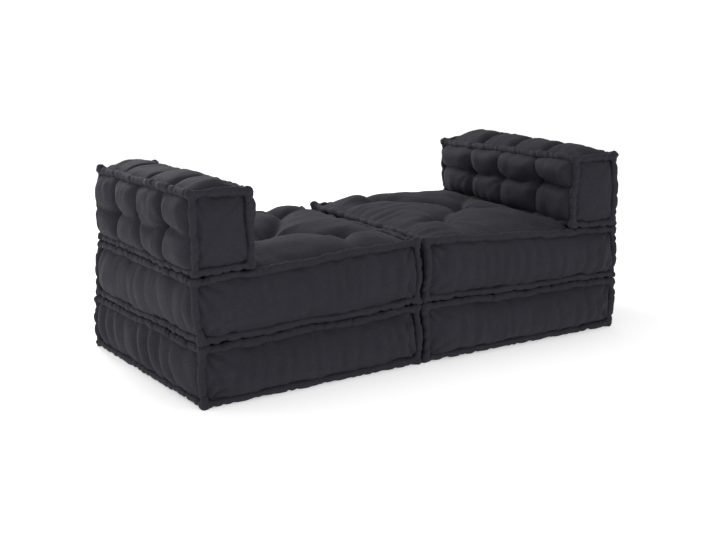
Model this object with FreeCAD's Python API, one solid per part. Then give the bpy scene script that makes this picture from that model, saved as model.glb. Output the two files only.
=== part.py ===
import FreeCAD, Part
import math
import os

from FreeCAD import Matrix, Placement, Rotation, Vector

# Modular sofa of six stuffed cotton cushions with rolled edges.
# Two equal modules stand side by side along X. Each is a base cushion, a seat cushion on
# it, and an arm cushion that stands on the outer end of the seat and presses it down.
# Every cushion is a foam core in fibre wadding, inside sewn cover panels. The seams are
# stuffed rolls, and twine ties draw the two large faces together at the tufts.
# Millimetres. +Z is up, -Y is the front, and the origin is on the floor in the middle.

# Cushion sizes, measured over the rolled edges
MODULE_LENGTH = 700.0
MODULE_DEPTH = 700.0
MODULE_GAP = 8.0
BASE_HEIGHT = 160.0
SEAT_INNER_HEIGHT = 184.0
SEAT_OUTER_HEIGHT = 165.0
ARM_HEIGHT = 218.0
ARM_THICKNESS = 176.0

# Seams, cover and clearances
ROLL_RADIUS = 11.0
FABRIC = 1.5
CORE_GAP = 0.3
SKIN_GAP = 0.5
ROLL_GAP = 0.4
STACK_GAP = 0.4

# Wadding thickness over the foam core
EDGE_WADDING = 3.0
EDGE_RISE = 1.5
TUFT_WADDING = 1.4
SEAT_CROWN_WADDING = 34.0
SEAT_CHANNEL_WADDING = 15.0
ARM_CROWN_WADDING = 25.0
ARM_CHANNEL_WADDING = 10.0
SIDE_BULGE_WADDING = 17.0
ARM_BULGE_WADDING = 14.0
PRESSED_RELIEF = 1.0

# Tufts: rows run across the depth, columns along the module
TUFT_ROWS = 3
FREE_COLUMNS = 3
ARM_COLUMNS = 2
TIE_RADIUS = 1.2
TIE_GAP = 0.4
KNOT_RADIUS = 2.5
KNOT_GAP = 0.3
DISH_RADIUS = 22.0

# How full a pillow is halfway up from a seam
SHOULDER_SHARE = 0.72
# How a side's bulge is drawn in towards its ends and at the creases between lumps
END_BULGE_SHARE = 0.35
SIDE_SHOULDER_SHARE = 0.82
SIDE_SHOULDER_PLACE = 0.16
CREASE_BULGE_SHARE = 0.6

X_AXIS = Vector(1, 0, 0)
Y_AXIS = Vector(0, 1, 0)
Z_AXIS = Vector(0, 0, 1)

# Wadding that brings the cover flush with the tops of the rolls
FLUSH_WADDING = ROLL_RADIUS - FABRIC - SKIN_GAP - CORE_GAP
# Cover's outer surface above the foam core where a tuft draws it down
TUFT_SURFACE = CORE_GAP + TUFT_WADDING + SKIN_GAP + FABRIC
# Width beside an edge that the roll takes up
STITCH_INSET = ROLL_RADIUS + ROLL_GAP
# Foot of the dish that a tie pulls into a flat face
DISH_FOOT = 2 * KNOT_RADIUS
TIE_HOLE_RADIUS = TIE_RADIUS + TIE_GAP


class Face:
    """One side of a foam core: u along it, v across it, n outwards from its first corner."""

    def __init__(self, origin, u_axis, v_axis, u_size, v_sizes):
        self.origin = origin
        self.u_axis = u_axis
        self.v_axis = v_axis
        self.n_axis = v_axis.cross(u_axis)
        self.u_size = u_size
        self.v_sizes = v_sizes

    def point(self, u, v, n):
        return self.origin + self.u_axis * u + self.v_axis * v + self.n_axis * n

    def v_end(self, u):
        """Far stitch line at u."""
        start, end = self.v_sizes
        return start + (end - start) * u / self.u_size - STITCH_INSET

    def u_end(self):
        return self.u_size - STITCH_INSET


class Cushion:
    """One cushion lying flat: x along it, y across it and z up from its lower face."""

    def __init__(self, length, low_height, high_height, columns):
        self.length = length
        self.low_height = low_height
        self.slope = math.atan2(high_height - low_height, length)
        self.columns = columns
        self.rows = [MODULE_DEPTH * (i / (TUFT_ROWS + 1) - 0.5) for i in range(1, TUFT_ROWS + 1)]
        self.x_core = length / 2 - ROLL_RADIUS
        self.y_core = MODULE_DEPTH / 2 - ROLL_RADIUS

    def core_top(self, x):
        rise = math.tan(self.slope) * (x + self.length / 2)
        return self.low_height + rise - ROLL_RADIUS / math.cos(self.slope)

    def tufts(self):
        return [(x, y) for x in self.columns for y in self.rows]

    def row_places(self):
        return [y + self.y_core for y in self.rows]

    def top_face(self):
        start = Vector(-self.x_core, -self.y_core, self.core_top(-self.x_core))
        along = Vector(math.cos(self.slope), 0, math.sin(self.slope))
        span = 2 * self.x_core / math.cos(self.slope)
        return Face(start, Y_AXIS, along, 2 * self.y_core, (span, span))

    def bottom_face(self):
        start = Vector(self.x_core, -self.y_core, ROLL_RADIUS)
        span = 2 * self.x_core
        return Face(start, Y_AXIS, -X_AXIS, 2 * self.y_core, (span, span))

    def side_faces(self):
        x, y, z = self.x_core, self.y_core, ROLL_RADIUS
        low = self.core_top(-x) - z
        high = self.core_top(x) - z
        return {
            "low_end": Face(Vector(-x, -y, z), Y_AXIS, Z_AXIS, 2 * y, (low, low)),
            "high_end": Face(Vector(x, y, z), -Y_AXIS, Z_AXIS, 2 * y, (high, high)),
            "front": Face(Vector(x, -y, z), -X_AXIS, Z_AXIS, 2 * x, (high, low)),
            "back": Face(Vector(-x, y, z), X_AXIS, Z_AXIS, 2 * x, (low, high)),
        }

    def core_block(self):
        x, y = self.x_core, self.y_core
        outline = [
            Vector(-x, -y, ROLL_RADIUS),
            Vector(x, -y, ROLL_RADIUS),
            Vector(x, -y, self.core_top(x)),
            Vector(-x, -y, self.core_top(-x)),
        ]
        return polygon_face(outline).extrude(Y_AXIS * (2 * y))


def polygon_face(points):
    return Part.Face(Part.makePolygon(points + points[:1]))


def chain(points):
    """Arcs through consecutive triples: end, middle, end."""
    return [Part.Arc(*points[i:i + 3]).toShape() for i in range(0, len(points) - 2, 2)]


def line(start, end):
    return Part.LineSegment(start, end).toShape()


def pad_outline(face, u, profile):
    """Closed section of a wadding pad: flat on the core, arcs above."""
    upper = [face.point(u, v, CORE_GAP + n) for v, n in profile]
    foot_start = face.point(u, profile[0][0], CORE_GAP)
    foot_end = face.point(u, profile[-1][0], CORE_GAP)
    sides = [line(upper[-1], foot_end), line(foot_end, foot_start), line(foot_start, upper[0])]
    return Part.Wire(chain(upper) + sides)


def skin_outline(face, u, profile):
    """Closed section of a cover panel that follows the wadding at one thickness."""
    inside = [face.point(u, v, CORE_GAP + SKIN_GAP + n) for v, n in profile]
    outside = [point + face.n_axis * FABRIC for point in inside]
    returning = chain(inside[::-1])
    return Part.Wire(
        chain(outside) + [line(outside[-1], inside[-1])] + returning + [line(inside[0], outside[0])]
    )


def loft_pair(face, sections):
    """Wadding pad and cover panel lofted through sections given as (u, profile)."""
    pad = Part.makeLoft([pad_outline(face, u, profile) for u, profile in sections], True, False)
    skin = Part.makeLoft([skin_outline(face, u, profile) for u, profile in sections], True, False)
    return pad, skin


def pillow_sections(face, row_places, column_places, crown, channel, pressed_to):
    """Sections of a tufted face: edge, then pillow and tuft row in turn, then edge.

    Columns that end within pressed_to carry another cushion and stay flush.
    """
    flush = FLUSH_WADDING - PRESSED_RELIEF
    seams = [STITCH_INSET] + column_places + [face.v_end(0)]

    def row(end_height, seam_height, middle_height):
        profile = [(seams[0], end_height)]
        for i in range(1, len(seams)):
            limit = flush if seams[i] <= pressed_to else crown
            last = i == len(seams) - 1
            profile.append(((seams[i - 1] + seams[i]) / 2, min(middle_height, limit)))
            profile.append((seams[i], end_height if last else min(seam_height, limit)))
        return profile

    stops = [STITCH_INSET] + row_places + [face.u_end()]
    edge = row(EDGE_WADDING, EDGE_WADDING, EDGE_WADDING + EDGE_RISE)
    pillow = row(EDGE_WADDING, channel, crown)
    tuft_row = row(EDGE_WADDING, TUFT_WADDING, channel)
    seam_rows = [edge] + [tuft_row] * len(row_places) + [edge]
    sections = [(stops[0], edge)]
    for i in range(1, len(stops)):
        start, end = stops[i - 1], stops[i]
        sections.append((start * 0.75 + end * 0.25, shoulder(seam_rows[i - 1], pillow)))
        sections.append(((start + end) / 2, pillow))
        sections.append((start * 0.25 + end * 0.75, shoulder(seam_rows[i], pillow)))
        sections.append((end, seam_rows[i]))
    return sections


def shoulder(seam, pillow):
    """Profile halfway from a seam to the middle of a pillow, as round as an arc."""
    return [
        (v, low + (high - low) * SHOULDER_SHARE)
        for (v, low), (_, high) in zip(seam, pillow)
    ]


def bulge_sections(face, bulge, creases):
    """Sections of a side that bulges between its rolls, in lumps where it has creases."""
    start, end = STITCH_INSET, face.u_end()
    if creases:
        stops = [start] + creases + [end]
        places = [(start, END_BULGE_SHARE)]
        for i in range(1, len(stops)):
            places.append(((stops[i - 1] + stops[i]) / 2, 1.0))
            places.append((stops[i], END_BULGE_SHARE if stops[i] == end else CREASE_BULGE_SHARE))
    else:
        inset = SIDE_SHOULDER_PLACE * (end - start)
        places = [
            (start, END_BULGE_SHARE),
            (start + inset, SIDE_SHOULDER_SHARE),
            ((start + end) / 2, 1.0),
            (end - inset, SIDE_SHOULDER_SHARE),
            (end, END_BULGE_SHARE),
        ]
    sections = []
    for u, share in places:
        top = face.v_end(u)
        height = EDGE_WADDING + (bulge - EDGE_WADDING) * share
        middle = (STITCH_INSET + top) / 2
        sections.append((u, [(STITCH_INSET, EDGE_WADDING), (middle, height), (top, EDGE_WADDING)]))
    return sections


def plate(face, low, high):
    corners = [
        (STITCH_INSET, STITCH_INSET),
        (face.u_end(), STITCH_INSET),
        (face.u_end(), face.v_end(0)),
        (STITCH_INSET, face.v_end(0)),
    ]
    outline = [face.point(u, v, low) for u, v in corners]
    return polygon_face(outline).extrude(face.n_axis * (high - low))


def turned(face, u, v, outline):
    """Solid of revolution about the face's normal, from (radius, height) points."""
    points = [face.point(u + radius, v, height) for radius, height in outline]
    return polygon_face(points).revolve(face.point(u, v, 0), face.n_axis, 360)


def flat_pair(face, tuft_places):
    """Wadding pad and cover panel of a face that is pressed flat, dished at each tuft."""
    pad_top = CORE_GAP + FLUSH_WADDING
    pad = plate(face, CORE_GAP, pad_top)
    skin = plate(face, ROLL_RADIUS - FABRIC, ROLL_RADIUS)
    floor = CORE_GAP + TUFT_WADDING
    pad_dish = [(0, floor), (DISH_FOOT, floor), (DISH_RADIUS, pad_top),
                (DISH_RADIUS, 2 * ROLL_RADIUS), (0, 2 * ROLL_RADIUS)]
    mouth = [(0, 0), (DISH_RADIUS, 0), (DISH_RADIUS, 2 * ROLL_RADIUS), (0, 2 * ROLL_RADIUS)]
    cup = [(DISH_RADIUS, ROLL_RADIUS), (DISH_FOOT, TUFT_SURFACE),
           (TIE_HOLE_RADIUS, TUFT_SURFACE), (TIE_HOLE_RADIUS, TUFT_SURFACE - FABRIC),
           (DISH_FOOT, TUFT_SURFACE - FABRIC), (DISH_RADIUS, ROLL_RADIUS - FABRIC)]
    for u, v in tuft_places:
        pad = pad.cut(turned(face, u, v, pad_dish))
        skin = skin.cut(turned(face, u, v, mouth)).fuse(turned(face, u, v, cup))
    return pad, skin.removeSplitter()


def ring_rolls(corners, core):
    """Four stuffed rolls round one large face, mitred where they meet."""
    rolls = []
    reach = 2 * ROLL_RADIUS
    for i in range(4):
        start, end = corners[i], corners[(i + 1) % 4]
        along = (end - start).normalize()
        length = (end - start).Length + 2 * reach
        tube = Part.makeCylinder(ROLL_RADIUS, length, start - along * reach, along)
        start_corner = Vector(math.copysign(reach, start.x), math.copysign(reach, start.y), 0)
        end_corner = Vector(math.copysign(reach, end.x), math.copysign(reach, end.y), 0)
        floor_start = Vector(start.x, start.y, -reach)
        floor_end = Vector(end.x, end.y, -reach)
        between = polygon_face([
            floor_start + start_corner,
            floor_end + end_corner,
            floor_end - end_corner,
            floor_start - start_corner,
        ]).extrude(Z_AXIS * (start.z + end.z + 3 * reach))
        rolls.append(tube.common(between).cut(core))
    return rolls


def corner_rolls(cushion, core):
    rolls = []
    low = 2 * ROLL_RADIUS + ROLL_GAP
    spare = ROLL_GAP + ROLL_RADIUS * (1 + math.tan(cushion.slope))
    for x in (-cushion.x_core, cushion.x_core):
        height = cushion.core_top(x) - spare - low
        for y in (-cushion.y_core, cushion.y_core):
            rolls.append(Part.makeCylinder(ROLL_RADIUS, height, Vector(x, y, low)).cut(core))
    return rolls


def knot_lift(span, channel):
    """Height of a knot's middle above the core, resting in the fold between two pillows."""
    fold = 2 * math.atan2(2 * (channel - TUFT_WADDING), span)
    return TUFT_SURFACE + KNOT_GAP + KNOT_RADIUS / math.cos(fold)


def make_cushion(cushion, top, bottom, bulges, creased=()):
    """All the pieces of one cushion, each piece a list of solids.

    top and bottom are None for a face pressed flat, or (crown, channel, pressed length).
    bulges gives each side's wadding, or None for a side pressed flat.
    """
    core = cushion.core_block()
    top_face = cushion.top_face()
    bottom_face = cushion.bottom_face()
    rows = cushion.row_places()
    tilt = math.cos(cushion.slope)
    top_columns = [(x + cushion.x_core) / tilt for x in cushion.columns]
    bottom_columns = [cushion.x_core - x for x in reversed(cushion.columns)]

    def face_pair(face, columns, style):
        if style is None:
            return flat_pair(face, [(u, v) for v in columns for u in rows])
        return loft_pair(face, pillow_sections(face, rows, columns, *style))

    top_pad, top_skin = face_pair(top_face, top_columns, top)
    bottom_pad, bottom_skin = face_pair(bottom_face, bottom_columns, bottom)

    side_pads = []
    side_skins = []
    for name, face in cushion.side_faces().items():
        if bulges[name] is None:
            pad, skin = flat_pair(face, [])
        else:
            creases = rows if name in creased else []
            pad, skin = loft_pair(face, bulge_sections(face, bulges[name], creases))
        side_pads.append(pad)
        side_skins.append(skin)

    span = min(MODULE_DEPTH / (TUFT_ROWS + 1), cushion.length / (len(cushion.columns) + 1))
    rest = TUFT_SURFACE + KNOT_GAP + KNOT_RADIUS
    top_lift = rest if top is None else knot_lift(span, top[1])
    bottom_lift = rest if bottom is None else knot_lift(span, bottom[1])
    holes = []
    ties = []
    for x, y in cushion.tufts():
        low = Vector(x, y, ROLL_RADIUS - bottom_lift)
        high = Vector(x, y, cushion.core_top(x) + top_lift / tilt)
        length = high.z - low.z
        twine = Part.makeCylinder(TIE_RADIUS, length, low)
        knots = [Part.makeSphere(KNOT_RADIUS, place) for place in (low, high)]
        ties.append(twine.fuse(knots).removeSplitter())
        holes.append(Part.makeCylinder(TIE_HOLE_RADIUS, length + 4 * KNOT_RADIUS,
                                       low - Z_AXIS * 2 * KNOT_RADIUS))

    x, y = cushion.x_core, cushion.y_core
    plan = [(-x, -y), (x, -y), (x, y), (-x, y)]
    top_corners = [Vector(px, py, cushion.core_top(px)) for px, py in plan]
    bottom_corners = [Vector(px, py, ROLL_RADIUS) for px, py in plan]
    return {
        "foam_core": [core.cut(holes)],
        "wadding": [top_pad.cut(holes), bottom_pad.cut(holes)] + side_pads,
        "top_panel": [top_skin.cut(holes)],
        "bottom_panel": [bottom_skin.cut(holes)],
        "side_panels": side_skins,
        "top_rolls": ring_rolls(top_corners, core),
        "bottom_rolls": ring_rolls(bottom_corners, core),
        "corner_rolls": corner_rolls(cushion, core),
        "tuft_ties": ties,
    }


def frame_placement(origin, x_axis, y_axis, z_axis):
    rows = [(x_axis[i], y_axis[i], z_axis[i], origin[i]) for i in range(3)]
    return Placement(Matrix(*[value for row in rows for value in row], 0, 0, 0, 1))


def placed(pieces, placement):
    moved = {}
    for name, solids in pieces.items():
        moved[name] = []
        for solid in solids:
            for single in solid.Solids:
                copy = single.copy()
                copy.Placement = placement.multiply(copy.Placement)
                moved[name].append(copy)
    return moved


def export(prefix, pieces, names):
    for name, solids in pieces.items():
        shape = solids[0] if len(solids) == 1 else Part.makeCompound(solids)
        shape.exportStep("parts/" + prefix + "_" + names.get(name, name) + ".step")


def main():
    os.makedirs("parts", exist_ok=True)

    free_pitch = (MODULE_LENGTH - ARM_THICKNESS) / FREE_COLUMNS
    columns = [ARM_THICKNESS + free_pitch * i - MODULE_LENGTH / 2 for i in range(FREE_COLUMNS)]
    module_bulges = {
        "low_end": SIDE_BULGE_WADDING,
        "high_end": FLUSH_WADDING,
        "front": SIDE_BULGE_WADDING,
        "back": SIDE_BULGE_WADDING,
    }
    base = Cushion(MODULE_LENGTH, BASE_HEIGHT, BASE_HEIGHT, columns)
    seat = Cushion(MODULE_LENGTH, SEAT_OUTER_HEIGHT, SEAT_INNER_HEIGHT, columns)
    pressed_to = ARM_THICKNESS / math.cos(seat.slope)
    seat_top = (SEAT_CROWN_WADDING, SEAT_CHANNEL_WADDING, pressed_to)

    arm_columns = [ARM_HEIGHT * (i / ARM_COLUMNS - 0.5) for i in range(1, ARM_COLUMNS)]
    arm = Cushion(ARM_HEIGHT, ARM_THICKNESS, ARM_THICKNESS, arm_columns)
    arm_face = (ARM_CROWN_WADDING, ARM_CHANNEL_WADDING, 0.0)
    arm_bulges = {
        "low_end": None,
        "high_end": ARM_BULGE_WADDING,
        "front": ARM_BULGE_WADDING,
        "back": ARM_BULGE_WADDING,
    }

    base_pieces = make_cushion(base, None, None, module_bulges)
    seat_pieces = make_cushion(seat, seat_top, None, module_bulges)
    arm_pieces = make_cushion(arm, arm_face, arm_face, arm_bulges, creased=("high_end",))

    middle = -(MODULE_GAP + MODULE_LENGTH) / 2
    seat_floor = BASE_HEIGHT + STACK_GAP
    along = Vector(math.cos(seat.slope), 0, math.sin(seat.slope))
    up = Vector(-math.sin(seat.slope), 0, math.cos(seat.slope))
    outer_edge = Vector(middle - MODULE_LENGTH / 2, 0, seat_floor + SEAT_OUTER_HEIGHT)
    arm_origin = outer_edge + along * ARM_THICKNESS + up * (STACK_GAP + ARM_HEIGHT / 2)

    left_module = {
        "base": (base_pieces, Placement(Vector(middle, 0, 0), Rotation())),
        "seat": (seat_pieces, Placement(Vector(middle, 0, seat_floor), Rotation())),
        "arm": (arm_pieces, frame_placement(arm_origin, up, Y_AXIS, -along)),
    }
    arm_names = {
        "top_panel": "outer_panel",
        "bottom_panel": "inner_panel",
        "top_rolls": "outer_rolls",
        "bottom_rolls": "inner_rolls",
    }
    turns = {"left": Rotation(), "right": Rotation(Z_AXIS, 180)}
    for side, turn in turns.items():
        for name, (pieces, placement) in left_module.items():
            whole = Placement(Vector(0, 0, 0), turn).multiply(placement)
            names = arm_names if name == "arm" else {}
            export(side + "_" + name, placed(pieces, whole), names)


main()
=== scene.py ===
import math
from dataclasses import dataclass
from itertools import product

import bmesh
import bpy
import numpy as np
from mathutils import Matrix, Vector, noise


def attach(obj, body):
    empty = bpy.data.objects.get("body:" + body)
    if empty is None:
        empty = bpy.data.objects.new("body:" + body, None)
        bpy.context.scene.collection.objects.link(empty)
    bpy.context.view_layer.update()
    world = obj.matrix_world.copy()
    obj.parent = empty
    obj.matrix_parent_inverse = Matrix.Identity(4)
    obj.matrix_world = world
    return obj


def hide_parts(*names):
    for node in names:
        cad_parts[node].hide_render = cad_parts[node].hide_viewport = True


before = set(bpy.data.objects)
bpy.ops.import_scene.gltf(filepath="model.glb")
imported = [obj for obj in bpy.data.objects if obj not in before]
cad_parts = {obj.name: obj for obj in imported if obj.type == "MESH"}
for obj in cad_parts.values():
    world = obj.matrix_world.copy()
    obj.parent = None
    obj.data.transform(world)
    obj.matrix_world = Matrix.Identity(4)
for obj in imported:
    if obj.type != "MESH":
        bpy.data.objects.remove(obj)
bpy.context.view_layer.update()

# Sizes of the sofa in metres, over the rolled edges
MODULE_LENGTH = 0.700
MODULE_DEPTH = 0.700
MODULE_GAP = 0.008
BASE_HEIGHT = 0.160
SEAT_INNER_HEIGHT = 0.184
SEAT_OUTER_HEIGHT = 0.165
ARM_HEIGHT = 0.218
ARM_THICKNESS = 0.176
ROLL_RADIUS = 0.011
STACK_GAP = 0.0004
TUFT_PITCH = MODULE_DEPTH / 4

# Cover mesh and its filling
CLOTH_STEP = 0.0105
FILL_FRAMES = 14
FILL_SETTINGS = dict(
    quality=5,
    mass=0.3,
    air_damping=2.0,
    tension_stiffness=15.0,
    compression_stiffness=15.0,
    shear_stiffness=6.0,
    bending_stiffness=0.1,
    vertex_group_mass="sewn",
    pin_stiffness=1.0,
    vertex_group_shrink="slack",
    shrink_min=0.0,
    use_pressure=True,
    uniform_pressure_force=3.0,
)
# Places on a panel run from -0.5 to 0.5, and those past this lie on a seam
ON_SEAM = 0.4999
PRESSED_FLUSH = ROLL_RADIUS - 0.0006
FACING_LIMIT = ROLL_RADIUS + MODULE_GAP / 2 - 0.0012
# Distance from the arm and how far the seat may swell there
ARM_CLEARANCE = ((0.0, 0.003, 0.014, 0.050, 0.120), (0.0, 0.016, 0.019, 0.028, 0.060))

# Tufts, creases and lumps of the cover, made before it is filled
TUFT_REACH = 0.022
LOOSE_TUFT = 0.8
# How far the left seat's middle tuft has shifted, and how hard it is pulled
SHIFTED_TUFT = (0.028, -0.040)
SHIFTED_PULL = 0.4
CREASE_WIDTH = 0.013
CREASE_STRAY = 0.024
STRAY_SCALE = 7.0
VALLEY_WIDENING = 2.4
VALLEY_STRAY = 0.034
VALLEY_FADE = 1.9
RIDGE_HEIGHT = 0.013
RIDGE_FROM_ARM = 0.014
RIDGE_WIDTH = 0.020
LUMPS = ((7.0, 0.0035), (24.0, 0.0012))

# Pleats of the cover, made after it is filled
FINE_CREASE_WIDTH = 0.005
FINE_CREASE_SHARE = 0.28
FINE_FOLD_SHARE = 0.5
PLEAT_SCALE = 44.0
PLEAT_START = 0.008
GROOVE_DEPTH = 0.0045
GROOVE_FROM_SEAM = 0.0105
GROOVE_WIDTH = 0.005
FAN_PITCH = 0.042
FAN_REACH = 0.036
CORNER_REACH = 0.030
TUFT_RAYS = 6
RAY_HEIGHT = 0.0014
RAY_REACH = 0.026

# Rolled edges
ROLL_STITCH_PITCH = 0.033
ROLL_VOXEL = 0.003
ROLL_STEP = 0.004
ROLL_OVERRUN = 0.004
ROLL_CORE = 0.0114
ROLL_PINCH_WIDTH = 0.0050
ROLL_STRAY = 0.0034
ROLL_OUT = 0.0006
# How far the rolls may stand out where they show, elsewhere, and between the modules
ROLL_PLAY_SHOWN = 0.009
ROLL_PLAY = 0.006
ROLL_PLAY_FACING = MODULE_GAP / 2 - 0.001
ROLL_STITCH_JITTER = 0.45
ROLL_PINCH = (0.05, 0.60)
ROLL_END_STITCH = 0.022
ROLL_END_PINCH = 0.35
EAR_RADIUS = 0.0128
EAR_OUT = 0.0030
EAR_STRAY = 0.0025

# Hand stitching and tuft twine
THREAD_PITCH = 0.0165
THREAD_LENGTH = 0.0048
THREAD_RADIUS = 0.0008
THREAD_FROM_CORNER = 0.025
THREAD_OUT = 0.0016
THREAD_INSET = 0.0112
TWINE_LENGTH = 0.0068
TWINE_RADIUS = 0.0012
KNOT_LENGTH = 0.0022
KNOT_RADIUS = 0.0018
KNOT_OUT = 0.0006
# How far aside and how deep the cover is looked for under a knot
KNOT_SEARCH = (0.006, 0.05)

# How the filled stack has settled: millimetres that the corners of each level have moved.
# Each row is front left, front right, back left, back right as seen from the front.
SETTLED = {
    "left": (
        ((5, -22, 0), (-14, 5, 0), (-18, 3, 0), (0, 0, 0)),
        ((13, -4, 1), (-10, 7, 13), (-10, 2, -4), (-3, 1, 4)),
        ((2, 0, 11), (-9, 8, 17), (8, -1, -2), (-3, 2, 5)),
        ((8, 0, 19), (11, -1, 4), (20, -2, -5), (24, -5, -6)),
    ),
    "right": (
        ((-15, 3, 0), (-8, 6, 0), (0, 0, 0), (0, 0, 0)),
        ((-10, 7, 13), (-10, 0, -2), (-3, 1, 4), (0, 0, 0)),
        ((-1, 3, 16), (-4, -1, -11), (15, -5, 16), (9, -5, 0)),
        ((-6, 3, -3), (-11, 1, 0), (3, 0, -25), (2, 0, 3)),
    ),
}
SEAM_WANDER = ((6.0, 0.0060), (17.0, 0.0028))
BARREL = 0.008
# Height over the floor where the wander is at its full
WANDER_RISE = 0.04

# Height in the sky, from the horizon to overhead, and how white it is
SKY = ((0.0, 0.45), (0.08, 0.26), (0.3, 0.20), (0.6, 0.36), (1.0, 0.80))
SKY_STRENGTH = 1.45
COTTON_COLOUR = (0.0268, 0.0257, 0.0338)
ROLL_COLOUR = tuple(c * 1.05 for c in COTTON_COLOUR)

ALONG, ACROSS, UP = 0, 1, 2
OUTWARD = {"left": -1, "right": 1}
SLOPE = math.atan2(SEAT_INNER_HEIGHT - SEAT_OUTER_HEIGHT, MODULE_LENGTH)


def seam_corners(side, cushion):
    """The eight corners where a cushion's seams meet: x changes first, then y, then z."""
    outer = -MODULE_GAP / 2 - MODULE_LENGTH
    inner = -MODULE_GAP / 2
    seat_floor = BASE_HEIGHT + STACK_GAP
    y = MODULE_DEPTH / 2 - ROLL_RADIUS
    if cushion == "arm":
        along = Vector((math.cos(SLOPE), 0, math.sin(SLOPE)))
        up = Vector((-math.sin(SLOPE), 0, math.cos(SLOPE)))
        foot = Vector((outer, 0, seat_floor + SEAT_OUTER_HEIGHT))
        profile = [
            foot + along * v + up * n
            for n in (STACK_GAP + ROLL_RADIUS, STACK_GAP + ARM_HEIGHT - ROLL_RADIUS)
            for v in (ROLL_RADIUS, ARM_THICKNESS - ROLL_RADIUS)
        ]
    else:
        ends = (outer + ROLL_RADIUS, inner - ROLL_RADIUS)
        floor = 0 if cushion == "base" else seat_floor
        tops = [BASE_HEIGHT] * 2
        if cushion == "seat":
            tops = [floor + SEAT_OUTER_HEIGHT + math.tan(SLOPE) * (x - outer) for x in ends]
        profile = [Vector((x, 0, floor + ROLL_RADIUS)) for x in ends]
        profile += [Vector((x, 0, top - ROLL_RADIUS)) for x, top in zip(ends, tops)]
    if side == "right":
        profile = [Vector((-p.x, 0, p.z)) for p in (profile[1], profile[0], profile[3], profile[2])]
    return [
        Vector((profile[level * 2 + end].x, depth, profile[level * 2 + end].z))
        for level in (0, 1)
        for depth in (-y, y)
        for end in (0, 1)
    ]


def ripple(points, scale, seed):
    """Smooth random values at points, from about -1 to 1."""
    shift = Vector((seed * 7.31, seed * 3.17, seed * 5.71))
    return np.array([noise.noise(Vector(p) * scale + shift) for p in points])


def patchy(points, scale, seed, mean, swing, low, high):
    """Uneven strength at points: mean, give or take swing, kept between low and high."""
    return np.clip(mean + swing * ripple(points, scale, seed), low, high)


def lobes(turn, power, level):
    """Rounded lobes with narrow gaps between them, measured from level."""
    return np.abs(np.sin(turn)) ** power - level


def rise_and_fade(distance, reach):
    """0 at no distance, 1 at reach, and fading beyond it."""
    share = distance / reach
    return share * np.exp(1 - share)


@dataclass
class Panel:
    """One cover panel: how it swells, where it is tufted or folded, and what it rests against.

    Lengths are in metres. Tufts are given as two places from the panel's middle and a pull. Valleys are soft
    hollows in place of the creases, each from one place to another with its depth at both.
    """

    bulge: float  # height of the middle above the seams
    slack: float  # spare cloth as a share of the size
    slope: float = 0.07  # how far from the seams the bulge is reached
    sag: float = 0.0  # how much more the lower half swells
    limit: float = 1.0  # height it is pressed back to
    ridge: float = 0.0  # where the arm stands and squeezes the filling out
    tufts: tuple = ()
    dip: float = 0.0  # depth of a tuft below the seams
    pit: float = 0.0  # least depth of a tuft below its pillows
    crease: float = 0.0  # depth of the lines through the tufts
    cross: float = 1.0  # share of that depth in the level lines
    stand: float = 1.0  # share of it in the upright lines
    rungs: tuple = ()  # level lines without tufts
    valleys: tuple = ()
    hold: float = 0.0  # how firmly the creases resist the filling
    folds: int = 0  # upright folds along the panel
    fold_depth: float = 0.0
    lean: float = 0.0  # how far the folds lean
    gather: float = 0.0  # height of the small pleats beside the seams
    gather_reach: float = 0.016
    groove: float = 1.0  # pull of the seams' stitches
    fan: float = 0.0  # height of the long wrinkles that spread from the inner seam
    corner: float = 0.0  # depth of the pleats at the corners

    @property
    def upright(self):
        return [] if self.valleys else sorted({round(a, 4) for a, _, _ in self.tufts})

    @property
    def level(self):
        return [] if self.valleys else sorted({round(b, 4) for _, b, _ in self.tufts} | set(self.rungs))


class PanelPlace:
    """A panel's place on its cushion: its plane, its two directions and its own vertices."""

    def __init__(self, corners, axis, sign):
        self.axis = axis
        self.sign = sign
        self.s_axis, self.t_axis = [a for a in (ALONG, ACROSS, UP) if a != axis]
        held = [np.array(c) for i, c in enumerate(corners) if ((i >> axis) & 1) == (sign > 0)]
        self.middle = sum(held) / 4
        s_dir = held[1] - held[0] + held[3] - held[2]
        t_dir = held[2] - held[0] + held[3] - held[1]
        self.s_size = np.linalg.norm(s_dir) / 2
        self.t_size = np.linalg.norm(t_dir) / 2
        normal = np.cross(s_dir, t_dir)
        outward = self.middle - sum(np.array(c) for c in corners) / 8
        self.normal = normal / np.linalg.norm(normal) * (1 if normal @ outward > 0 else -1)

    def inside(self, unit):
        """Vertices of the panel, without those on its seams."""
        mask = np.abs(unit[:, self.axis] - 0.5 * self.sign) < 1e-4
        return mask & (np.abs(unit[:, self.s_axis]) < ON_SEAM) & (np.abs(unit[:, self.t_axis]) < ON_SEAM)

    def places(self, unit):
        return unit[:, self.s_axis] * self.s_size, unit[:, self.t_axis] * self.t_size


def panel_places(side, corners):
    outward = OUTWARD[side]
    ends = {
        "outer": (ALONG, outward),
        "inner": (ALONG, -outward),
        "front": (ACROSS, -1),
        "back": (ACROSS, 1),
        "top": (UP, 1),
        "bottom": (UP, -1),
    }
    return {name: PanelPlace(corners, axis, sign) for name, (axis, sign) in ends.items()}


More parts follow.
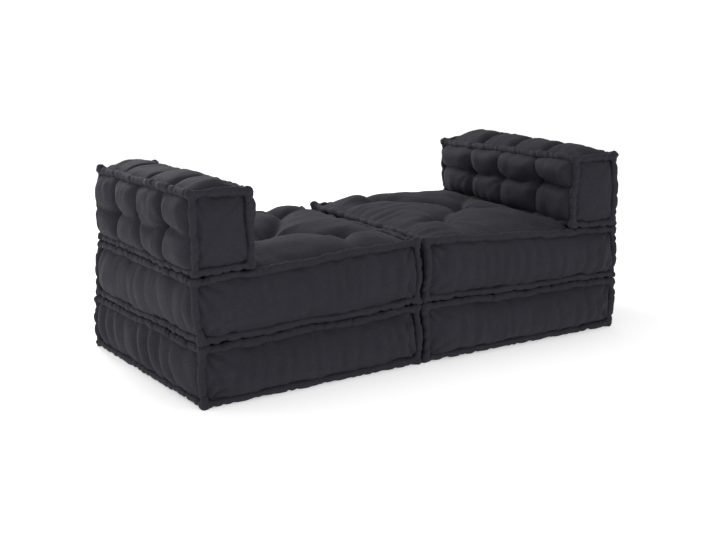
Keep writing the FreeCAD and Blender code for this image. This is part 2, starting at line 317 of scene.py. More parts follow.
def deep_tufts(side):
    """The deep tufts of a base or a seat, placed like the five on a die, and how hard each is pulled."""
    outward = OUTWARD[side]
    pitch = (MODULE_LENGTH - ARM_THICKNESS) / 3
    at_arm, middle, inner = [outward * (MODULE_LENGTH / 2 - ARM_THICKNESS - pitch * i) for i in range(3)]
    central = (middle, 0.0, 1.0)
    if side == "left":
        central = (middle + SHIFTED_TUFT[0], SHIFTED_TUFT[1], SHIFTED_PULL)
    return [
        central,
        (inner, -TUFT_PITCH, 1.0),
        (inner, TUFT_PITCH, 1.0),
        (at_arm, -TUFT_PITCH, LOOSE_TUFT),
        (at_arm, TUFT_PITCH, LOOSE_TUFT),
    ]


def seat_valleys(side):
    """Hollows between the pillows: from the middle tuft to the others, and from those to the edges."""
    (x, y, _), *others = deep_tufts(side)
    deep = 1.3 if side == "left" else 1.0
    valleys = [(x, y, a, b, deep, 0.4 if pull == LOOSE_TUFT else 1.0) for a, b, pull in others]
    to_edge, aside, at_tuft, at_edge = 1.9, 1.05, 0.9, 0.25
    for a, b, pull in others:
        if pull != LOOSE_TUFT:
            valleys.append((a, b, a * to_edge, b * aside, at_tuft, at_edge))
            valleys.append((a, b, a * aside, b * to_edge, at_tuft, at_edge))
    return valleys


def cover_panels(side, cushion):
    tufts = deep_tufts(side)
    columns = (-TUFT_PITCH, 0.0, TUFT_PITCH)
    pressed = dict(bulge=0.016, slack=0.01, limit=PRESSED_FLUSH)
    facing = dict(bulge=0.012, slack=0.01, limit=FACING_LIMIT)
    side_face = dict(bulge=0.027, slack=0.02, folds=16, fold_depth=0.0052, gather=0.0046, gather_reach=0.028,
                     groove=1.3, corner=0.0100)
    if cushion == "arm":
        row = [(y, 0.0, 1.0) for y in columns]
        face = dict(bulge=0.034, slack=0.07, slope=0.048, tufts=row, crease=0.028, hold=0.8, dip=0.036,
                    gather=0.0030, gather_reach=0.026)
        end = dict(bulge=0.018, slack=0.015, gather=0.0022, groove=1.6, corner=0.0045)
        return {
            "outer": Panel(**face, sag=0.05, cross=0.6),
            "inner": Panel(**face, sag=-0.35, cross=0.95, stand=0.55),
            "front": Panel(**end),
            "back": Panel(**end),
            "top": Panel(bulge=0.031, slack=0.04, rungs=columns, crease=0.024, hold=0.7, gather=0.0034,
                         gather_reach=0.026),
            "bottom": Panel(**pressed),
        }
    panels = {
        "top": Panel(**pressed, tufts=tufts, crease=0.002),
        "bottom": Panel(**pressed, tufts=tufts, crease=0.002),
        "front": Panel(**side_face),
        "back": Panel(**side_face),
        "outer": Panel(bulge=0.017, slack=0.035, folds=9, fold_depth=0.0095, lean=0.3, gather=0.0018),
        "inner": Panel(**facing),
    }
    if cushion == "seat":
        panels["top"] = Panel(
            bulge=0.042, slack=0.022, slope=0.14, sag=-0.28,
            ridge=OUTWARD[side] * (MODULE_LENGTH / 2 - ARM_THICKNESS),
            tufts=tufts, valleys=seat_valleys(side), crease=0.034, hold=0.6, dip=-0.010, pit=0.010,
            gather=0.0030, gather_reach=0.032, groove=0.3, fan=0.0026 if side == "left" else 0.0048,
        )
        panels["outer"] = Panel(bulge=0.019, slack=0.03, folds=9, fold_depth=0.0028, gather=0.0020)
    return panels


def soft_edge(distance, reach):
    """0 at a seam, rising roundly to 1 at reach."""
    return 1 - (1 - np.clip(distance / reach, 0, 1)) ** 2.4


def panel_rise(panel, place, s, t):
    """0 at the seams and about 1 in the middle."""
    s_half, t_half = place.s_size / 2, place.t_size / 2
    rise = soft_edge(s_half - np.abs(s), min(panel.slope, s_half))
    rise = rise * soft_edge(t_half - np.abs(t), min(panel.slope, t_half))
    return rise * (1 - panel.sag * t / t_half)


def beside_valley(valley, s, t):
    """Distance from a valley's line, and its depth there: deepest at its ends."""
    a, b, far_a, far_b, deep, far_deep = valley
    along = np.array((far_a - a, far_b - b))
    share = np.clip(((s - a) * along[0] + (t - b) * along[1]) / (along @ along), 0, 1)
    off = np.hypot(s - a - share * along[0], t - b - share * along[1])
    return off, deep * (1 - share) ** VALLEY_FADE + far_deep * share ** VALLEY_FADE


def crease_pull(panel, s, t, seed, width):
    """1 along the creases, which wander and vary, and 0 away from them."""
    points = np.stack([s, t, np.full_like(s, seed)], 1)
    stray = VALLEY_STRAY if panel.valleys else CREASE_STRAY
    wander_s = ripple(points, STRAY_SCALE, seed + 1) * stray
    wander_t = ripple(points, STRAY_SCALE, seed + 2) * stray
    pull = np.zeros_like(s)
    for valley in panel.valleys:
        off, deep = beside_valley(valley, s + wander_s, t + wander_t)
        pull = np.maximum(pull, deep * np.exp(-(off / (width * VALLEY_WIDENING)) ** 1.5))
    for line in panel.upright:
        pull += panel.stand * np.exp(-np.abs(s + wander_s - line) / width)
    for line in panel.level:
        pull += panel.cross * np.exp(-np.abs(t + wander_t - line) / width)
    return pull * patchy(points, 6.0, seed + 3, mean=1, swing=0.8, low=0.2, high=1.6)


def fold_lumps(panel, place, s, t, seed):
    """Rounded upright folds of uneven width."""
    points = np.stack([s, t, np.full_like(s, seed)], 1)
    turn = math.pi * panel.folds * ((s - panel.lean * t) / place.s_size + 0.5)
    turn = turn + 3.4 * ripple(points * (1, 0.6, 1), 5.0, seed + 4)
    uneven = patchy(points, 6.0, seed + 5, mean=1, swing=1.1, low=0.15, high=1.8)
    return lobes(turn, 0.8, 0.6) * uneven


def panel_height(panel, place, s, t, seed):
    """Height of the unfilled panel above its seams."""
    points = np.stack([s, t, np.full_like(s, seed)], 1)
    rise = panel_rise(panel, place, s, t)
    height = panel.bulge * rise
    if panel.crease:
        height -= panel.crease * rise * crease_pull(panel, s, t, seed, CREASE_WIDTH)
    for a, b, pull in panel.tufts:
        far = np.hypot(s - a, t - b)
        deep = np.maximum(panel.bulge - 2 * panel.crease + panel.dip * pull, panel.pit * pull)
        height -= deep * np.exp(-far / TUFT_REACH)
    if panel.folds:
        height += panel.fold_depth * rise * fold_lumps(panel, place, s, t, seed)
    if panel.ridge:
        clear = (panel.ridge - s) * math.copysign(1, panel.ridge)
        squeezed = np.exp(-((clear - RIDGE_FROM_ARM) / RIDGE_WIDTH) ** 2)
        height += RIDGE_HEIGHT * squeezed * soft_edge(place.t_size / 2 - np.abs(t), RIDGE_FROM_ARM)
    for number, (scale, size) in enumerate(LUMPS, 6):
        height += size * ripple(points, scale, seed + number) * rise
    return height


def cushion_block(corners):
    """Even grid over a six-sided block. Returns the mesh and each vertex's place in a unit cube."""
    sizes = [(corners[1 << axis] - corners[0]).length for axis in (ALONG, ACROSS, UP)]
    bm = bmesh.new()
    bmesh.ops.create_cube(bm, size=1.0)
    for axis, size in enumerate(sizes):
        edges = [e for e in bm.edges if abs(e.verts[0].co[axis] - e.verts[1].co[axis]) > 0.9]
        cuts = round(size / CLOTH_STEP) - 1
        bmesh.ops.subdivide_edges(bm, edges=edges, cuts=cuts, use_grid_fill=True)
    mesh = bpy.data.meshes.new("cushion_block")
    bm.to_mesh(mesh)
    bm.free()
    return mesh, mesh_points(mesh)


def mesh_points(mesh):
    values = np.zeros(len(mesh.vertices) * 3)
    mesh.vertices.foreach_get("co", values)
    return values.reshape(-1, 3)


def move_points(mesh, points):
    mesh.vertices.foreach_set("co", points.ravel())


def add_object(name, data):
    piece = bpy.data.objects.new(name, data)
    bpy.context.scene.collection.objects.link(piece)
    return piece


def add_piece(name, bm):
    """Turns a finished bmesh into an object of the scene."""
    mesh = bpy.data.meshes.new(name)
    bm.to_mesh(mesh)
    bm.free()
    return add_object(name, mesh)


def bake_modifiers(piece):
    """Makes what the piece's modifiers show its own mesh."""
    rough = piece.data
    graph = bpy.context.evaluated_depsgraph_get()
    piece.data = bpy.data.meshes.new_from_object(piece.evaluated_get(graph))
    piece.modifiers.clear()
    bpy.data.meshes.remove(rough)
    piece.data.name = piece.name


def block_points(unit, corners):
    """Points of the block for places in the unit cube."""
    share = unit + 0.5
    points = np.zeros_like(unit)
    for i, corner in enumerate(corners):
        weight = np.ones(len(unit))
        for axis in (ALONG, ACROSS, UP):
            weight = weight * (share[:, axis] if (i >> axis) & 1 else 1 - share[:, axis])
        points += weight[:, None] * np.array(corner)
    return points


def add_weights(cover, name, weights):
    group = cover.vertex_groups.new(name=name)
    for level in np.unique(weights):
        group.add([int(i) for i in np.nonzero(weights == level)[0]], float(level), "REPLACE")


def fill_with_wadding(cover, sewn, slack):
    """Swells the cover by a cloth simulation. Returns where its vertices come to rest."""
    add_weights(cover, "sewn", sewn)
    add_weights(cover, "slack", slack / slack.max())
    fill = cover.modifiers.new("fill", "CLOTH")
    for key, value in FILL_SETTINGS.items():
        setattr(fill.settings, key, value)
    fill.settings.shrink_max = -slack.max()
    fill.settings.effector_weights.gravity = 0.0
    fill.collision_settings.use_collision = False
    fill.point_cache.frame_start = 1
    fill.point_cache.frame_end = FILL_FRAMES
    for step in range(1, FILL_FRAMES + 1):
        bpy.context.scene.frame_set(step)
    graph = bpy.context.evaluated_depsgraph_get()
    filled = mesh_points(cover.evaluated_get(graph).data)
    bpy.context.scene.frame_set(1)
    cover.modifiers.remove(fill)
    cover.vertex_groups.clear()
    return filled


def press_back(points, unit, flat, panels, places, cushion, side):
    """Flattens each panel against what it rests on."""
    for name, panel in panels.items():
        place = places[name]
        inside = place.inside(unit)
        rise = (points[inside] - flat[inside]) @ place.normal
        limit = np.full_like(rise, panel.limit)
        if cushion == "seat" and name == "top":
            s, _ = place.places(unit[inside])
            clear = MODULE_LENGTH / 2 - OUTWARD[side] * s - ARM_THICKNESS
            limit = PRESSED_FLUSH + np.interp(clear, *ARM_CLEARANCE)
        points[inside] -= np.maximum(rise - limit, 0)[:, None] * place.normal
    return points


def make_cover(side, cushion, seed):
    corners = seam_corners(side, cushion)
    mesh, unit = cushion_block(corners)
    flat = block_points(unit, corners)
    panels = cover_panels(side, cushion)
    places = panel_places(side, corners)
    start = flat.copy()
    slack = np.zeros(len(unit))
    sewn = ((np.abs(unit) > ON_SEAM).sum(1) >= 2).astype(float)
    for count, (name, panel) in enumerate(panels.items()):
        place = places[name]
        index = np.nonzero(place.inside(unit))[0]
        s, t = place.places(unit[index])
        start[index] += panel_height(panel, place, s, t, seed + 10 * count)[:, None] * place.normal
        slack[index] = panel.slack
        for valley in panel.valleys:
            off, deep = beside_valley(valley, s, t)
            beside = off < CLOTH_STEP * 0.7
            sewn[index[beside]] = np.round(panel.hold * np.clip(deep[beside], 0, 1), 2)
        for line in panel.upright:
            sewn[index[np.abs(s - line) < CLOTH_STEP * 0.6]] = panel.hold
        for line in panel.level:
            sewn[index[np.abs(t - line) < CLOTH_STEP * 0.6]] = panel.hold
        for a, b, pull in panel.tufts:
            nearest = index[np.argmin(np.hypot(s - a, t - b))]
            sewn[nearest] = 1.0
            start[nearest] = flat[nearest] - panel.dip * pull * place.normal
    move_points(mesh, start)
    cover = add_object(side + "_" + cushion + "_cover", mesh)
    points = fill_with_wadding(cover, sewn, slack)
    points = press_back(points, unit, flat, panels, places, cushion, side)
    move_points(mesh, points)
    kept = mesh.attributes.new("unit_place", "FLOAT_VECTOR", "POINT")
    kept.data.foreach_set("vector", unit.ravel())
    mesh.update()
    finer = cover.modifiers.new("finer", "SUBSURF")
    finer.levels = finer.render_levels = 1
    bake_modifiers(cover)
    add_pleats(cover, corners, panels, places, cushion, side, seed)
    return cover


def fan_wrinkles(place, s, t, side, seed):
    """Long soft wrinkles that spread from the inner seam over the first pillows."""
    room = place.s_size / 2 + OUTWARD[side] * s
    points = np.stack([t, room * 0.6, np.full_like(t, seed)], 1)
    turn = math.pi * (t + 0.35 * room) / FAN_PITCH + 4.0 * ripple(points, 8.0, seed + 1)
    patch = patchy(points, 9.0, seed + 2, mean=0.6, swing=1.6, low=0, high=1.3)
    patch = patch * np.exp(-((t - 0.03) / 0.20) ** 2)
    return lobes(turn, 0.7, 0.68) * patch * rise_and_fade(np.clip(room - PLEAT_START, 0, None), FAN_REACH)


def seam_gathers(panel, place, s, t, seed):
    """Small pleats that run away from the four seams, and the grooves that their stitches pull."""
    runs = [(s, place.t_size / 2 - t), (s, place.t_size / 2 + t),
            (t, place.s_size / 2 - s), (t, place.s_size / 2 + s)]
    lift = np.zeros_like(s)
    for number, (run, room) in enumerate(runs):
        trail = np.stack([run, room * 0.2, np.full_like(run, number)], 1)
        seam = trail * (1, 0, 1)
        pleats = ripple(trail, PLEAT_SCALE, seed + number)
        patch = patchy(seam, 7.0, seed + number + 4, mean=0.7, swing=0.9, low=0, high=1.5)
        fade = rise_and_fade(np.clip(room - PLEAT_START, 0, None), panel.gather_reach)
        lift += panel.gather * patch * pleats * fade
        pull = patchy(seam, 26.0, seed + number + 8, mean=0.45, swing=1.4, low=0, high=1.5)
        lift -= panel.groove * GROOVE_DEPTH * pull * np.exp(-((room - GROOVE_FROM_SEAM) / GROOVE_WIDTH) ** 2)
    return lift


def corner_pleats(place, s, t):
    """Pleats that spread from the four corners."""
    lift = np.zeros_like(s)
    for a, b in product((-1, 1), repeat=2):
        right, up = place.s_size / 2 - a * s, place.t_size / 2 - b * t
        rays = lobes(np.arctan2(up, right) * 5 + a + 2 * b, 0.7, 0.7)
        lift += rays * rise_and_fade(np.hypot(right, up), CORNER_REACH)
    return lift


def tuft_rays(panel, s, t):
    """Fine wrinkles round each tuft."""
    lift = np.zeros_like(s)
    for number, (a, b, _) in enumerate(panel.tufts):
        angle = np.arctan2(t - b, s - a)
        rays = np.sin(angle * TUFT_RAYS + number * 2.1 + 1.6 * np.sin(angle * 2 + number))
        lift += RAY_HEIGHT * rays * rise_and_fade(np.hypot(s - a, t - b), RAY_REACH)
    return lift


def add_pleats(cover, corners, panels, places, cushion, side, seed):
    """Pleats, grooves and wrinkles that are too fine for the simulation."""
    mesh = cover.data
    values = np.zeros(len(mesh.vertices) * 3)
    mesh.attributes["unit_place"].data.foreach_get("vector", values)
    unit = values.reshape(-1, 3)
    points = mesh_points(mesh)
    for count, (name, panel) in enumerate(panels.items()):
        place = places[name]
        inside = place.inside(unit)
        s, t = place.places(unit[inside])
        shape_seed = seed + 10 * count
        pleat_seed = shape_seed + 100
        rise = panel_rise(panel, place, s, t)
        lift = np.zeros_like(s)
        if panel.crease and panel.gather:
            creases = crease_pull(panel, s, t, shape_seed, FINE_CREASE_WIDTH)
            lift -= FINE_CREASE_SHARE * panel.crease * rise * creases
        if panel.folds:
            lift += FINE_FOLD_SHARE * panel.fold_depth * rise * fold_lumps(panel, place, s, t, shape_seed)
        if panel.gather:
            lift += seam_gathers(panel, place, s, t, pleat_seed) + tuft_rays(panel, s, t)
        if panel.fan:
            lift += panel.fan * fan_wrinkles(place, s, t, side, pleat_seed)
        if panel.corner:
            lift += panel.corner * corner_pleats(place, s, t)
        points[inside] += lift[:, None] * place.normal
    points = press_back(points, unit, block_points(unit, corners), panels, places, cushion, side)
    move_points(mesh, points)
    mesh.attributes.remove(mesh.attributes["unit_place"])


def level_shift(rows, u, v):
    """Shift of points on one level from the shifts of its four corners, in metres."""
    front = np.array(rows[0]) * (1 - u)[:, None] + np.array(rows[1]) * u[:, None]
    back = np.array(rows[2]) * (1 - u)[:, None] + np.array(rows[3]) * u[:, None]
    return (front * (1 - v)[:, None] + back * v[:, None]) / 1000


def settle(piece, side, cushion):
    """Lets a finished piece lean, sag and swell with its module, so that stacked cushions still fit."""
    points = mesh_points(piece.data)
    outward = OUTWARD[side]
    low_x = -MODULE_GAP / 2 - MODULE_LENGTH if side == "left" else MODULE_GAP / 2
    x, y, z = points.T
    u = np.clip((x - low_x) / MODULE_LENGTH, 0, 1)
    v = np.clip(y / MODULE_DEPTH + 0.5, 0, 1)
    from_outer = MODULE_LENGTH + MODULE_GAP / 2 - outward * x
    seat_top = BASE_HEIGHT + STACK_GAP + SEAT_OUTER_HEIGHT + math.tan(SLOPE) * from_outer
    *levels, arm_rows = SETTLED[side]
    floor, middle, top = [level_shift(rows, u, v) for rows in levels]
    if cushion == "base":
        h = np.clip(z / BASE_HEIGHT, 0, 1)
        shift = floor * (1 - h)[:, None] + middle * h[:, None]
    elif cushion == "seat":
        h = np.clip((z - BASE_HEIGHT) / (seat_top - BASE_HEIGHT), 0, 1)
        shift = middle * (1 - h)[:, None] + top * h[:, None]
    else:
        h = np.clip((z - seat_top) / ARM_HEIGHT, 0, 1)
        arm_u = np.clip(from_outer / ARM_THICKNESS, 0, 1)
        arm_u = arm_u if side == "left" else 1 - arm_u
        arm = level_shift(arm_rows, arm_u, v)
        shift = top * (1 - h)[:, None] + arm * h[:, None]
    barrel = BARREL * 4 * h * (1 - h)
    if cushion != "arm":
        across = 1 - 2 * np.clip(from_outer / MODULE_LENGTH, 0, 1)
        shift[:, 0] += outward * barrel * np.maximum(across, 0) ** 3
    shift[:, 1] += barrel * (2 * v - 1) ** 3
    lift = np.clip(z / WANDER_RISE, 0, 1)
    for scale, reach in SEAM_WANDER:
        for axis in (ALONG, ACROSS, UP):
            shift[:, axis] += reach * ripple(points, scale, 40 + axis) * lift
    points += shift
    move_points(piece.data, points)
    piece.data.update()
    for face in piece.data.polygons:
        face.use_smooth = True


def roll_runs(side, corners):
    """The twelve rolled edges: start, end, and outward directions of the two panels each joins."""
    normals = {(p.axis, p.sign): Vector(p.normal) for p in panel_places(side, corners).values()}
    runs = []
    for axis in (ALONG, ACROSS, UP):
        for i in range(8):
            if (i >> axis) & 1:
                continue
            others = [a for a in (ALONG, ACROSS, UP) if a != axis]
            outward = [normals[a, 1 if (i >> a) & 1 else -1] for a in others]
            runs.append((corners[i], corners[i | 1 << axis], outward[0], outward[1]))
    return runs


def press_rolls(points, places, cushion, side):
    """Keeps the rolls off the floor and off the next cushion."""
    for name, place in places.items():
        rise = (points - place.middle) @ place.normal
        play = ROLL_PLAY_SHOWN if name in ("outer", "front", "back") else ROLL_PLAY
        if name == "inner" and cushion != "arm":
            play = ROLL_PLAY_FACING
        if name == "bottom" or (cushion == "base" and name == "top"):
            play = 0
        over = np.maximum(rise - (ROLL_RADIUS + play), 0)
        if cushion == "seat" and name == "top":
            arm_edge = MODULE_LENGTH + MODULE_GAP / 2 - ARM_THICKNESS
            covered = OUTWARD[side] * points[:, 0] > arm_edge - ROLL_PLAY
            over = np.where(covered, np.maximum(rise - ROLL_RADIUS, 0), over)
        points -= over[:, None] * place.normal
    return points


def make_roll(number, start, end, n1, n2, rng, seed):
    """One stuffed roll, pinched by oblique hand stitches."""
    length = (end - start).length
    tube = bmesh.new()
    bmesh.ops.create_cone(tube, cap_ends=True, segments=16, radius1=1, radius2=1, depth=1)
    upright = [e for e in tube.edges if abs(e.verts[0].co.z - e.verts[1].co.z) > 0.5]
    bmesh.ops.subdivide_edges(tube, edges=upright, cuts=int(length / ROLL_STEP), use_grid_fill=True)
    count = max(2, round(length / ROLL_STITCH_PITCH))
    jitter = rng.uniform(-ROLL_STITCH_JITTER, ROLL_STITCH_JITTER, count)
    stitches = (np.arange(count) + 0.5 + jitter) / count * length
    crossing = abs((end - start).y) > length / 2
    hidden = crossing and abs(start.x) < MODULE_LENGTH / 2
    depth = rng.uniform(*ROLL_PINCH, count) * (0.5 if hidden else 1.0 if crossing else 0.8)
    stitches = np.append(stitches, (ROLL_END_STITCH, length - ROLL_END_STITCH))
    depth = np.append(depth, (ROLL_END_PINCH, ROLL_END_PINCH))
    lean = rng.uniform(0.005, 0.009) * (1 if number % 2 else -1)

    def wander(run, scale, spread, shift):
        return noise.noise(Vector((run * scale, number * spread, seed + shift)))

    for v in tube.verts:
        run = (v.co.z + 0.5) * (length + 2 * ROLL_OVERRUN) - ROLL_OVERRUN
        angle = math.atan2(v.co.y, v.co.x)
        turn = angle - math.pi / 4
        near = run + lean * math.sin(turn) - stitches
        pinch = float((depth * np.exp(-(near / ROLL_PINCH_WIDTH) ** 2)).sum())
        radius = ROLL_CORE * (1 + 0.08 * math.cos(turn)) * (1 - pinch * (0.55 + 0.45 * math.cos(turn)))
        radius *= 1 + 0.18 * wander(run, 28, 3.7, 0)
        radius *= 1 + 0.20 * wander(run, 9, 4.3, 5)
        sway = ROLL_STRAY * wander(run, 24, 5.1, 9)
        drop = ROLL_STRAY * wander(run, 24, 5.1, 19)
        out = n1 * (math.cos(angle) * radius + sway) + n2 * (math.sin(angle) * radius + drop)
        v.co = start + (end - start) * (run / length) + out + (n1 + n2) * ROLL_OUT
    bmesh.ops.recalc_face_normals(tube, faces=tube.faces)
    return tube


def make_ear(corner, middle, rng):
    """The stuffed lump where three rolls meet."""
    out = Vector([math.copysign(1, d) for d in corner - middle])
    ear = bmesh.new()
    bmesh.ops.create_icosphere(ear, subdivisions=4, radius=1)
    lean = out * EAR_OUT + Vector(rng.uniform(-EAR_STRAY, EAR_STRAY, 3))
    for v in ear.verts:
        lump = 1 + 0.30 * noise.noise(v.co * 1.7 + corner * 40)
        v.co = corner + lean + v.co * EAR_RADIUS * lump
    return ear


def make_rolls(side, cushion, seed):
    """Stuffed rolls along the twelve edges, with ears at the corners, joined into one skin."""
    corners = seam_corners(side, cushion)
    middle = sum(corners, Vector()) / 8
    rng = np.random.default_rng(seed)
    parts = [make_roll(number, *run, rng, seed) for number, run in enumerate(roll_runs(side, corners))]
    parts += [make_ear(corner, middle, rng) for corner in corners]
    bm = bmesh.new()
    spare = bpy.data.meshes.new("roll")
    for part in parts:
        part.to_mesh(spare)
        part.free()
        bm.from_mesh(spare)
    bpy.data.meshes.remove(spare)
    rolls = add_piece(side + "_" + cushion + "_rolls", bm)
    joined = rolls.modifiers.new("joined", "REMESH")
    joined.mode = "VOXEL"
    joined.voxel_size = ROLL_VOXEL
    eased = rolls.modifiers.new("eased", "SMOOTH")
    eased.factor = 0.5
    eased.iterations = 2
    bake_modifiers(rolls)
    points = press_rolls(mesh_points(rolls.data), panel_places(side, corners), cushion, side)
    move_points(rolls.data, points)
    return rolls


def put_thread(bm, place, direction, side_way, length, radius):
    """One short stitch, pointed at both ends."""
    direction = direction.normalized()
    side_way = (side_way - direction * side_way.dot(direction)).normalized()
    turn = Matrix((direction, side_way, direction.cross(side_way))).transposed().to_4x4()
    stretch = Matrix.Diagonal((length, radius, radius, 1))
    bmesh.ops.create_icosphere(bm, subdivisions=1, radius=1, matrix=Matrix.Translation(place) @ turn @ stretch)


def make_stitching(side, cushion, seed):
    """Hand stitches in the grooves on both sides of every rolled edge."""
    corners = seam_corners(side, cushion)
    rng = np.random.default_rng(seed)
    bm = bmesh.new()
    for start, end, n1, n2 in roll_runs(side, corners):
        length = (end - start).length
        way = (end - start) / length
        sewn = length - 2 * THREAD_FROM_CORNER
        count = int(sewn / THREAD_PITCH)
        for face, far in ((n1, n2), (n2, n1)):
            for i in range(count):
                run = THREAD_FROM_CORNER + (i + 0.5 + rng.uniform(-0.2, 0.2)) * sewn / count
                place = start + way * run + face * THREAD_OUT - far * THREAD_INSET
                put_thread(bm, place, way - far * rng.uniform(0.25, 0.5), face, THREAD_LENGTH, THREAD_RADIUS)
    return add_piece(side + "_" + cushion + "_stitching", bm)


def way_on_panel(axis, normal):
    """The direction of an axis, laid flat on a panel."""
    way = Vector([1.0 if i == axis else 0.0 for i in range(3)])
    return (way - normal * way.dot(normal)).normalized()


def make_tufting(side, cushion, cover, seed):
    """Crossed twine with a small knot at the bottom of every tuft."""
    corners = seam_corners(side, cushion)
    places = panel_places(side, corners)
    points = mesh_points(cover.data)
    rng = np.random.default_rng(seed)
    bm = bmesh.new()
    for name, panel in cover_panels(side, cushion).items():
        place = places[name]
        normal = Vector(place.normal)
        s_way, t_way = way_on_panel(place.s_axis, normal), way_on_panel(place.t_axis, normal)
        for a, b, _ in panel.tufts:
            spot = np.array(Vector(place.middle) + s_way * a + t_way * b)
            off = points - spot
            rise = off @ place.normal
            aside = np.linalg.norm(off - rise[:, None] * place.normal, axis=1)
            near = (aside < KNOT_SEARCH[0]) & (np.abs(rise) < KNOT_SEARCH[1])
            top = Vector(spot) + normal * (float(rise[near].max()) if near.any() else 0.0)
            twist = rng.uniform(0, math.pi)
            for turn in (twist, twist + 1.5):
                way = s_way * math.cos(turn) + t_way * math.sin(turn)
                put_thread(bm, top, way, normal, TWINE_LENGTH, TWINE_RADIUS)
            put_thread(bm, top + normal * KNOT_OUT, s_way, normal, KNOT_LENGTH, KNOT_RADIUS)
    return add_piece(side + "_" + cushion + "_tufting", bm)


def set_inputs(node, **values):
    for name, value in values.items():
        node.inputs[name.replace("_", " ")].default_value = value


def cotton(name, colour, slub, bump):
    """Washed cotton canvas: plain weave, slubs both ways, faded patches, paler wear on raised edges and
    painted shade in the creases.
    """
    material = bpy.data.materials.new(name)
    material.use_nodes = True
    nodes, links = material.node_tree.nodes, material.node_tree.links
    shader = nodes["Principled BSDF"]
    place = nodes.new("ShaderNodeTexCoord").outputs["Object"]

    def texture(kind, **settings):
        node = nodes.new(kind)
        links.new(place, node.inputs["Vector"])
        for key, value in settings.items():
            if key in node.inputs:
                node.inputs[key].default_value = value
            else:
                setattr(node, key, value)
        return node

    def mixed(first, second, how, share):
        node = nodes.new("ShaderNodeMix")
        node.data_type = "RGBA"
        node.blend_type = how
        node.inputs["Factor"].default_value = share
        links.new(first, node.inputs[6])
        links.new(second, node.inputs[7])
        return node.outputs[2]

    def ramp(value, low, high, dark, light):
        node = nodes.new("ShaderNodeValToRGB")
        node.color_ramp.elements[0].position = low
        node.color_ramp.elements[1].position = high
        node.color_ramp.elements[0].color = (*dark, 1)
        node.color_ramp.elements[1].color = (*light, 1)
        links.new(value, node.inputs["Fac"])
        return node.outputs["Color"]

    def tone(share):
        return tuple(c * share for c in colour)

    def threads(stretch):
        node = nodes.new("ShaderNodeMapping")
        links.new(place, node.inputs["Vector"])
        node.inputs["Scale"].default_value = stretch
        streak = nodes.new("ShaderNodeTexNoise")
        set_inputs(streak, Scale=1.0, Detail=3.0)
        links.new(node.outputs["Vector"], streak.inputs["Vector"])
        return streak.outputs["Fac"]

    faded = texture("ShaderNodeTexNoise", Scale=7.0, Detail=5.0, Roughness=0.6).outputs["Fac"]
    patches = ramp(faded, 0.3, 0.7, tone(0.93), tone(1.08))
    level = ramp(threads((60, 60, 900)), 0.35, 0.68, (1 - slub,) * 3, (1 + slub,) * 3)
    upright = ramp(threads((900, 900, 60)), 0.35, 0.68, (1 - slub,) * 3, (1 + slub,) * 3)
    # Pointiness: raised edges turn paler, as cotton wears there, and creases and hollows turn darker, which is
    # painted shade
    curvature_for_wear_and_shade = nodes.new("ShaderNodeNewGeometry").outputs["Pointiness"]
    edge_wear_and_crease_shade = ramp(curvature_for_wear_and_shade, 0.45, 0.60, (0.90, 0.90, 0.90), (1.12, 1.12, 1.12))
    shade = mixed(mixed(patches, level, "MULTIPLY", 1.0), upright, "MULTIPLY", 1.0)
    links.new(mixed(shade, edge_wear_and_crease_shade, "MULTIPLY", 1.0), shader.inputs["Base Color"])

    fuzz = texture("ShaderNodeTexNoise", Scale=160.0, Detail=4.0).outputs["Fac"]
    links.new(ramp(fuzz, 0.3, 0.7, (0.80,) * 3, (0.96,) * 3), shader.inputs["Roughness"])

    weave = None
    for direction in ("X", "Y", "Z"):
        wave = texture("ShaderNodeTexWave", Scale=235.0, Distortion=1.2, bands_direction=direction)
        rib = wave.outputs["Fac"]
        weave = rib if weave is None else mixed(weave, rib, "ADD", 1.0)
    fine = nodes.new("ShaderNodeBump")
    set_inputs(fine, Strength=0.35, Distance=0.00022)
    links.new(weave, fine.inputs["Height"])
    rumple = texture("ShaderNodeTexNoise", Scale=85.0, Detail=5.0, Roughness=0.62).outputs["Fac"]
    coarse = nodes.new("ShaderNodeBump")
    set_inputs(coarse, Strength=bump, Distance=0.0016)
    links.new(rumple, coarse.inputs["Height"])
    links.new(fine.outputs["Normal"], coarse.inputs["Normal"])
    links.new(coarse.outputs["Normal"], shader.inputs["Normal"])

    set_inputs(shader, Specular_IOR_Level=0.18, Sheen_Weight=0.04, Sheen_Roughness=0.35,
               Sheen_Tint=(0.80, 0.82, 0.95, 1))
    return material


def twine_finish():
    """Waxed cotton twine, a shade darker than the cloth."""
    material = bpy.data.materials.new("twine")
    material.use_nodes = True
    nodes, links = material.node_tree.nodes, material.node_tree.links
    shader = nodes["Principled BSDF"]
    place = nodes.new("ShaderNodeTexCoord").outputs["Object"]
    ply = nodes.new("ShaderNodeTexWave")
    ply.bands_direction = "DIAGONAL"
    set_inputs(ply, Scale=260.0, Distortion=1.0)
    links.new(place, ply.inputs["Vector"])
    shade = nodes.new("ShaderNodeValToRGB")
    shade.color_ramp.elements[0].color = (0.018, 0.018, 0.023, 1)
    shade.color_ramp.elements[1].color = (0.040, 0.040, 0.050, 1)
    links.new(ply.outputs["Fac"], shade.inputs["Fac"])
    links.new(shade.outputs["Color"], shader.inputs["Base Color"])
    twist = nodes.new("ShaderNodeBump")
    set_inputs(twist, Strength=0.5, Distance=0.0003)
    links.new(ply.outputs["Fac"], twist.inputs["Height"])
    links.new(twist.outputs["Normal"], shader.inputs["Normal"])
    shader.inputs["Roughness"].default_value = 0.6
    return material


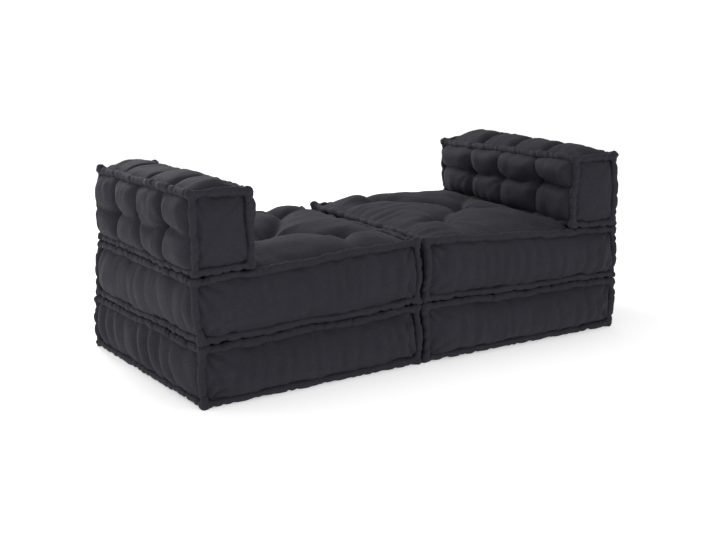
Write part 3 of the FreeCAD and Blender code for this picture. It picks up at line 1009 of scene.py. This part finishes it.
def make_cushion(side, cushion, seed, finishes):
    body = side + "_" + cushion
    node = body + "_"
    faces = ("outer", "inner") if cushion == "arm" else ("top", "bottom")
    cover = make_cover(side, cushion, seed)
    rolls = make_rolls(side, cushion, seed)
    stitching = make_stitching(side, cushion, seed)
    tufting = make_tufting(side, cushion, cover, seed)
    cover.data.materials.append(finishes["cover"])
    rolls.data.materials.append(finishes["rolled_edge"])
    stitching.data.materials.append(finishes["twine"])
    tufting.data.materials.append(finishes["twine"])
    for piece in (cover, rolls, stitching, tufting):
        settle(piece, side, cushion)
        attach(piece, body)
    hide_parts(node + "foam_core", node + "wadding", node + "side_panels",
                node + faces[0] + "_panel", node + faces[1] + "_panel")
    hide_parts(node + faces[0] + "_rolls", node + faces[1] + "_rolls", node + "corner_rolls")
    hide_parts(node + "tuft_ties")


def make_floor():
    bm = bmesh.new()
    bmesh.ops.create_grid(bm, x_segments=1, y_segments=1, size=400)
    floor = add_piece("floor", bm)
    paint = bpy.data.materials.new("pale_floor")
    paint.use_nodes = True
    shader = paint.node_tree.nodes["Principled BSDF"]
    set_inputs(shader, Base_Color=(0.93, 0.93, 0.93, 1), Roughness=0.9, Specular_IOR_Level=0.0,
               Emission_Color=(1, 1, 1, 1), Emission_Strength=0.4)
    floor.data.materials.append(paint)


def add_soft_light(name, place, target, size, power):
    data = bpy.data.lights.new(name, "AREA")
    data.shape = "DISK"
    data.size = size
    data.energy = power
    light = add_object(name, data)
    light.location = place
    light.rotation_euler = (Vector(target) - Vector(place)).to_track_quat("-Z", "Y").to_euler()


def light_studio():
    """A white room, brightest overhead, with soft lamps beside the left end, in front and high behind."""
    world = bpy.data.worlds.new("studio")
    world.use_nodes = True
    nodes, links = world.node_tree.nodes, world.node_tree.links
    way = nodes.new("ShaderNodeTexCoord").outputs["Generated"]
    parts = nodes.new("ShaderNodeSeparateXYZ")
    links.new(way, parts.inputs["Vector"])
    sky = nodes.new("ShaderNodeValToRGB")
    for height, _ in SKY[1:-1]:
        sky.color_ramp.elements.new(height)
    for stop, (height, white) in zip(sky.color_ramp.elements, SKY):
        stop.position = height
        stop.color = (white, white, white, 1)
    links.new(parts.outputs["Z"], sky.inputs["Fac"])
    links.new(sky.outputs["Color"], nodes["Background"].inputs["Color"])
    nodes["Background"].inputs["Strength"].default_value = SKY_STRENGTH
    bpy.context.scene.world = world
    add_soft_light("left_lamp", (-2.2, 0.8, 0.42), (-0.7, 0, 0.25), size=0.8, power=8)
    add_soft_light("front_lamp", (-0.3, -2.8, 0.9), (0, 0, 0.2), size=1.6, power=11)
    add_soft_light("back_lamp", (-0.3, 2.5, 1.7), (0, 0, 0.3), size=1.1, power=50)
    bpy.context.scene.view_settings.view_transform = "Standard"


def place_camera():
    """The photo's view: from the left and front, a little above the arms."""
    azimuth, elevation, tilt = math.radians(-30.79), math.radians(12.86), math.radians(0.91)
    target, distance = Vector((-0.0125, 0, 0.2063)), 3.817
    back = Vector((math.sin(azimuth) * math.cos(elevation), -math.cos(azimuth) * math.cos(elevation),
                   math.sin(elevation)))
    data = bpy.data.cameras.new("camera")
    data.lens = 63.51
    camera = add_object("camera", data)
    camera.matrix_world = (
        Matrix.Translation(target + back * distance)
        @ back.to_track_quat("Z", "Y").to_matrix().to_4x4()
        @ Matrix.Rotation(-tilt, 4, "Z")
    )
    bpy.context.scene.camera = camera


finishes = {
    "cover": cotton("cotton_cover", COTTON_COLOUR, slub=0.10, bump=0.30),
    "rolled_edge": cotton("cotton_rolled_edge", ROLL_COLOUR, slub=0.12, bump=0.45),
    "twine": twine_finish(),
}
for number, (side, cushion) in enumerate(product(("left", "right"), ("base", "seat", "arm")), 1):
    make_cushion(side, cushion, number * 1000, finishes)
make_floor()
light_studio()
place_camera()
